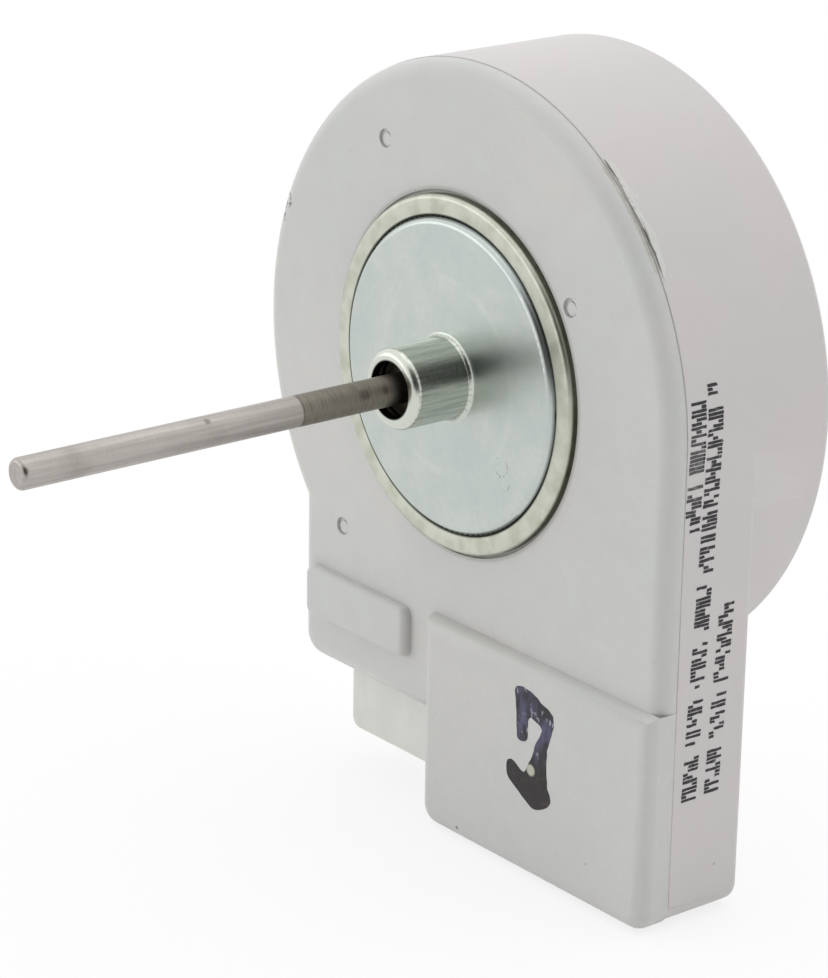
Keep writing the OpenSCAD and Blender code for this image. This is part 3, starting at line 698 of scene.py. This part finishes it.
washer_nylon = Surface("oiled_nylon")
oiled = washer_nylon.grain(1.2, 3.0).rise(0.3, 0.7)
washer_nylon.set(Base_Color=washer_nylon.mix(oiled, tone(226, 223, 208), tone(206, 201, 180)),
                 Roughness=0.3)
washer_nylon.relief(washer_nylon.grain(0.4, 3.0), 0.01)
dress(washer_nylon, "thrust_pad", "rear_washer", "front_washer", "bearing_washer")


# The shaft: one steel bar. It is dull where it runs in its bearings and up to the fan's seat, and
# finely ground on the free end, with smudges left by a thumb.

steel = Surface("ground_steel", metal=1.0)
ground_from, shaft_r = -41.0, 1.585
ground = 1 - steel.y.rise(ground_from - 0.12, ground_from + 0.12)
turning = steel.grain(0.5, 3.0, (3, 0.25, 3)).rise(0.25, 0.75)
lengthwise = steel.grain(0.35, 2.0, (1, 30, 1)).rise(0.3, 0.7)
dull = steel.mix(turning, tone(150, 145, 134), tone(126, 121, 111))
bright = steel.mix(lengthwise * 0.6 + turning * 0.2, tone(184, 179, 174), tone(160, 155, 150))
shaft_metal = steel.mix(ground, dull, bright)
shaft_metal = steel.mix(steel.grain(5.0, 3.0).rise(0.5, 0.75) * 0.22, shaft_metal, tone(112, 104, 92))
for smudge_y, smudge_turn, smudge_r in (
        (-33.5, 25, 0.8), (-30.9, 26, 0.6), (-72.8, 28, 0.5), (-52.0, 60, 0.5)):
    at = (shaft_r * math.cos(math.radians(smudge_turn)), smudge_y,
          shaft_r * math.sin(math.radians(smudge_turn)))
    smudge = 1 - steel.away_from(*at).rise(smudge_r * 0.3, smudge_r)
    shaft_metal = steel.mix(smudge * 0.5, shaft_metal, tone(70, 64, 56))
shaft_metal = steel.mix(steel.y.near(ground_from, 0.05, 0.2) * 0.45, shaft_metal, tone(70, 66, 60))
steel.set(Base_Color=shaft_metal, Roughness=0.42 - ground * 0.06 + turning * 0.06)
steel.relief(turning * 0.25 + lengthwise * ground * 0.5, 0.006)
dress(steel, "shaft")


# The rotor's hub: glass-filled plastic, moulded round the shaft in dark grey. The glass makes its
# surface matt and a little rough.

hub = Surface("hub_plastic")
hub.set(Base_Color=hub.mix(hub.grain(1.5, 4.0).rise(0.3, 0.7), tone(66, 68, 72), tone(52, 54, 58)),
        Roughness=0.5 + hub.grain(0.6, 2.0) * 0.12)
hub.relief(hub.grain(0.3, 4.0), 0.02)
dress(hub, "rotor_hub")


# The ring magnet: sintered ferrite, ground on its outside. It is charcoal grey with small chips and
# fine grinding lines round it.

ferrite = Surface("ground_ferrite", metal=0.15)
ground_lines = ferrite.grain(0.25, 3.0, (8, 1, 8)).rise(0.3, 0.7)
chips = ferrite.grain(0.9, 2.0).rise(0.7, 0.76)
chipped = ferrite.mix(chips, tone(50, 50, 52), tone(84, 82, 80))
ferrite.set(Base_Color=ferrite.mix(ground_lines, tone(66, 66, 68), chipped), Roughness=0.52)
ferrite.relief(ground_lines * 0.3 - chips, 0.02)
dress(ferrite, "ring_magnet")


# The collar in front of the hub: turned brass, pressed on the shaft. The tool leaves fine rings
# round it.

brass = Surface("turned_brass", metal=1.0)
rings = brass.grain(0.2, 3.0, (1, 8, 1)).rise(0.3, 0.7)
brass.set(Base_Color=brass.mix(rings, tone(206, 176, 104), tone(170, 138, 74)),
          Roughness=0.26 + rings * 0.12)
brass.relief(rings, 0.006)
dress(brass, "front_collar")


# The wave washer: spring steel, punched, bent and blued by its hardening. It lies loose and takes
# up the shaft's end play.

spring = Surface("blued_spring", metal=1.0)
clouded = spring.grain(0.8, 3.0).rise(0.3, 0.7)
spring.set(Base_Color=spring.mix(clouded, tone(120, 122, 132), tone(92, 92, 100)),
           Roughness=0.3 + spring.grain(0.4, 2.0) * 0.12)
spring.relief(spring.grain(0.3, 3.0), 0.005)
dress(spring, "wave_washer")


# The bracket: steel sheet, drawn into a boss, pressed flat round it, with rolled edges, and zinc
# plated. The middle has a cool bright tint, the flange a pale yellow one, and the boss shows the
# marks of drawing.

bracket = packed_shape("formed_bracket", "steel_bracket")
for name, side_r, edge_r, top, wall, corner_r in (
        ("rim_trim", 18.5, 20.0, -21.7, (-20.3, -20.6, -21.12), 0.5),
        ("disc_trim", 16.22, 16.6, -22.2, (-21.71,), 0.48)):
    flat_r = side_r - corner_r
    roll = [(flat_r + corner_r * math.cos(math.radians(t)),
             top + corner_r - corner_r * math.sin(math.radians(t))) for t in range(0, 91, 10)]
    ring = [(side_r, y) for y in wall] + roll + [(flat_r, top - 0.5), (edge_r, top - 0.5), (edge_r, wall[0])]
    combine(bracket, turned(name, ring + ring[:1]), "DIFFERENCE")
smooth(bracket, 30)

zinc = Surface("zinc_plating", metal=1.0)
radius = zinc.from_axis()
disc_edge, flange_edge, boss_outer = 16.35, 18.5, 4.4
on_disc = 1 - radius.rise(disc_edge - 0.1, disc_edge + 0.1)
spangle = zinc.grain(5.0, 4.0, (1, 1, 1), 0.6).rise(0.3, 0.7)
fine = zinc.grain(0.45, 3.0)
plated = zinc.mix(spangle, tone(189, 197, 194), tone(198, 204, 199))
plated = zinc.mix(fine.rise(0.35, 0.75) * 0.16, plated, tone(170, 178, 174))
ring_shine = radius.near(10.2, 0.15, 0.6) * zinc.grain(4.0, 2.0).rise(0.35, 0.6)
plated = zinc.mix(ring_shine * 0.12, plated, tone(226, 230, 224))
flange_tint = zinc.mix(zinc.grain(2.0, 3.0).rise(0.35, 0.7), tone(200, 203, 190), tone(183, 186, 170))
plated = zinc.mix(1 - on_disc, plated, flange_tint)
# Painted shade: a dark line in the groove between the disc and the flange.
plated = zinc.mix(radius.near(disc_edge, 0.1, 0.32) * 0.85, plated, tone(58, 62, 56))
# The rim's side is darker olive: the sheared edge's own colour, with painted shade on it.
on_rim = radius.rise(flange_edge - 0.5, flange_edge - 0.2) * zinc.y.rise(-21.6, -21.1)
plated = zinc.mix(on_rim * 0.6, plated, tone(96, 92, 74))
drawn = zinc.grain(0.5, 3.0, (0.7, 14, 0.7)).rise(0.3, 0.7)
on_boss = 1 - radius.rise(boss_outer, boss_outer + 0.3)
on_side = on_boss * (zinc.y > -28.8)
boss_metal = zinc.mix(drawn * on_side * 0.6, tone(206, 210, 200), tone(150, 156, 146))
plated = zinc.mix(on_boss, plated, boss_metal)
# Near-black inside the mouth: grease, with painted shade in the bore.
in_mouth = (1 - radius.rise(2.95, 3.15)) * on_boss
plated = zinc.mix(in_mouth * 0.96, plated, tone(16, 14, 11))
scratch = (zinc.away_from(9.0, -22.2, -7.0).near(1.0, 0.03, 0.12)
           + zinc.away_from(9.5, -22.2, -8.6).near(0.8, 0.03, 0.12))
scratch = (scratch * zinc.grain(0.8, 2.0).rise(0.45, 0.6)).rise(0.1, 1)
plated = zinc.mix(scratch * 0.45, plated, tone(110, 116, 112))
polish = (1 - on_disc) * 0.06 - on_boss * 0.06
zinc.set(Base_Color=plated, Roughness=0.22 + fine * 0.1 + zinc.grain(7.0, 3.0) * 0.08 + polish)
waves = zinc.grain(9.0, 1.0) * 1.4 * on_disc
zinc.relief(fine * 0.35 + waves + drawn * on_side * 0.35 - scratch, 0.012)
bracket.data.materials.append(zinc.material)
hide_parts("steel_bracket")
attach(bracket, "motor_body")


# The printed rows on the right side: quick-drying dark ink, sprayed on as the motor passes. They
# are rows of plain bars of mixed length here, and stand for no words.


def printed_x(z):
    """The right side's surface at this height, a hair above the resin."""
    return 0.012 + (math.sqrt(drum_r ** 2 - (z - drum_z) ** 2) if z > drum_z else side_x)


rows = (((-16.9, -36.2), (-15.2, 6.4), 36), ((-13.9, -36.0), (-12.9, -16.2), 17),
        ((-18.0, -8.0), (-17.4, 5.0), 11))
row_h, bar_w, bar_gap = 1.95, 0.31, 0.33
dice = random.Random(41)
dashes = []
for (y0, z0), (y1, z1), count in rows:
    pitch = (z1 - z0) / count
    for i in range(count):
        t = (i + 0.5) / count
        y, z = y0 + (y1 - y0) * t, z0 + (z1 - z0) * t
        if i % 5 == 4 and dice.random() < 0.6:
            continue
        for column in (-bar_gap, 0.0, bar_gap):
            reach = dice.choice((0, 1, 1, 1, 2, 3)) if not column else dice.choice((1, 2, 2, 3, 3))
            start = dice.choice(range(4 - reach))
            if reach:
                dashes.append((y + ((start + reach / 2) / 3 - 0.5) * row_h, z + column * pitch,
                               reach / 3 * row_h))
marks = bare_mesh("printed_marks", bpy.ops.mesh.primitive_plane_add, size=0.2 * mm, location=(0, 0, 0))
bpy.ops.object.mode_set(mode="EDIT")
bpy.ops.mesh.delete(type="VERT")
for y, z, tall in dashes:
    bpy.ops.mesh.primitive_plane_add(size=mm, location=(printed_x(z) * mm, y * mm, z * mm),
                                     rotation=(0, math.radians(90), 0))
    bpy.ops.transform.resize(value=(1, tall, bar_w))
bpy.ops.mesh.select_all(action="SELECT")
bpy.ops.mesh.subdivide(number_cuts=2)
bpy.ops.object.mode_set(mode="OBJECT")
bleed = random.Random(43)
for corner in marks.data.vertices:
    y = corner.co.y / mm + bleed.uniform(-0.05, 0.05)
    z = corner.co.z / mm + bleed.uniform(-0.04, 0.04)
    corner.co = Vector((printed_x(z), y, z)) * mm
if marks.data.polygons[0].normal.x < 0:
    marks.data.flip_normals()

print_ink = Surface("printing_ink")
worn = print_ink.grain(0.5, 3.0).rise(0.5, 0.75)
smear = print_ink.z.near(-1.5, 2.0, 6.0) * (print_ink.y < -16.9)
faded = (worn * 0.55 + smear * 0.35).rise(0, 1)
print_ink.set(Base_Color=print_ink.mix(faded, tone(36, 34, 40), tone(132, 130, 130)), Roughness=0.6)
print_ink.relief(print_ink.grain(0.3, 2.0), 0.01)
marks.data.materials.append(print_ink.material)
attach(marks, "motor_body")


# The inspector's stroke on the block: thick black marker ink, drawn by hand, with a painted purple
# sheen and painted white glints in its upper part, and one pale spot.

stroke_outline = (
    (12.66, -29.19), (14.72, -28.89), (16.62, -29.69), (18.32, -30.42), (18.56, -31.65),
    (17.91, -33.71), (17.62, -35.65), (17.81, -38.23), (18.37, -40.02), (16.18, -41.49),
    (14.45, -40.91), (12.89, -40.0), (11.71, -39.08), (11.65, -37.49), (12.6, -37.29),
    (14.14, -37.95), (15.21, -36.24), (15.89, -34.41), (16.74, -32.54), (15.4, -31.81),
    (14.67, -32.2), (14.49, -34.37), (13.06, -34.47), (12.87, -31.75))
per_side = 7
stroke = bare_mesh("pen_stroke", bpy.ops.mesh.primitive_circle_add, radius=mm, fill_type="NOTHING",
                   vertices=len(stroke_outline) * per_side, location=(0, 0, 0))
wobble = smooth_noise(23, len(stroke.data.vertices), 2)
for i, corner in enumerate(stroke.data.vertices):
    k, t = divmod(i, per_side)
    t /= per_side
    a, b, c, d = (Vector(stroke_outline[(k + n) % len(stroke_outline)]) for n in (-1, 0, 1, 2))
    spot = 0.5 * (2 * b + (c - a) * t + (2 * a - 5 * b + 4 * c - d) * t ** 2
                  + (3 * b - a - 3 * c + d) * t ** 3)
    spot += Vector((wobble[i], wobble[-i])) * 0.07
    corner.co = Vector((spot.x, block_y - 0.012, spot.y)) * mm
bpy.ops.object.mode_set(mode="EDIT")
bpy.ops.mesh.select_all(action="SELECT")
bpy.ops.mesh.fill()
bpy.ops.mesh.normals_make_consistent(inside=False)
bpy.ops.object.mode_set(mode="OBJECT")
if stroke.data.polygons[0].normal.y > 0:
    stroke.data.flip_normals()
give(stroke, "SOLIDIFY", thickness=0.02 * mm, offset=-1)

ink = Surface("marker_ink")
upper = ink.z.rise(-37.5, -34.5)
# Painted sheen: purple-blue patches in the upper part of the stroke.
sheen_patches = ink.grain(1.2, 4.0, (1, 1, 2.4)).rise(0.42, 0.7)
inked = ink.mix(upper, tone(22, 15, 14), ink.mix(sheen_patches, tone(30, 25, 34), tone(80, 78, 108)))
# Painted white glints in the upper part.
glints = upper * ink.grain(0.55, 3.0, (1, 1, 2)).rise(0.6, 0.7)
inked = ink.mix(glints * 0.75, inked, tone(172, 172, 184))
brown = (1 - upper) * ink.grain(0.8, 3.0).rise(0.58, 0.75)
inked = ink.mix(brown * 0.5, inked, tone(74, 54, 46))
# One pale spot in the ink.
pale_spot = 1 - ink.away_from(15.26, block_y, -37.42).rise(0.45, 0.75)
inked = ink.mix(pale_spot, inked, tone(186, 186, 172))
ink.set(Base_Color=inked, Roughness=0.46 + ink.grain(0.6, 2.0) * 0.2)
ink.relief(ink.grain(0.4, 3.0), 0.02)
stroke.data.materials.append(ink.material)
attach(stroke, "motor_body")
